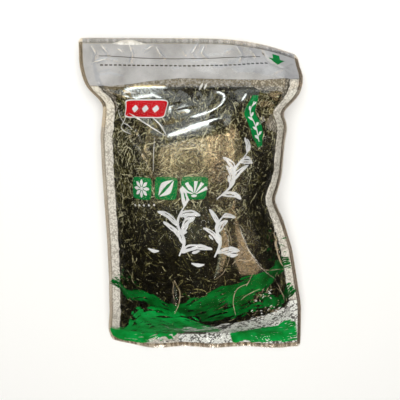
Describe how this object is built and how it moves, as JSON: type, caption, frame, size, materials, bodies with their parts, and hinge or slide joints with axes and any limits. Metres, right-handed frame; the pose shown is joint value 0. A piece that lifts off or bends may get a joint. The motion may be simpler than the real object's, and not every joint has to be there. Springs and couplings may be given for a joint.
{
  "type": "zip pouch of shredded nori",
  "caption": "Sealed clear film pouch with a press-to-close zip, filled with a loose tangle of fine roasted seaweed shreds and lying on its back.",
  "frame": {"origin": "on the resting surface, under the middle of the pouch's bounding box", "axes": "+Y runs up the pouch from its bottom seal to its header, +X to the right as the printed front is read, +Z out of the front"},
  "size_m": [0.2004, 0.2895, 0.065],
  "materials": {
    "film": "gloss",
    "zip": "satin",
    "nori": "matte"
  },
  "bodies": {
    "root": {"film_front": "film", "film_back": "film", "zip_rib": "zip", "zip_groove": "zip", "nori": "nori"}
  },
  "joints": []
}
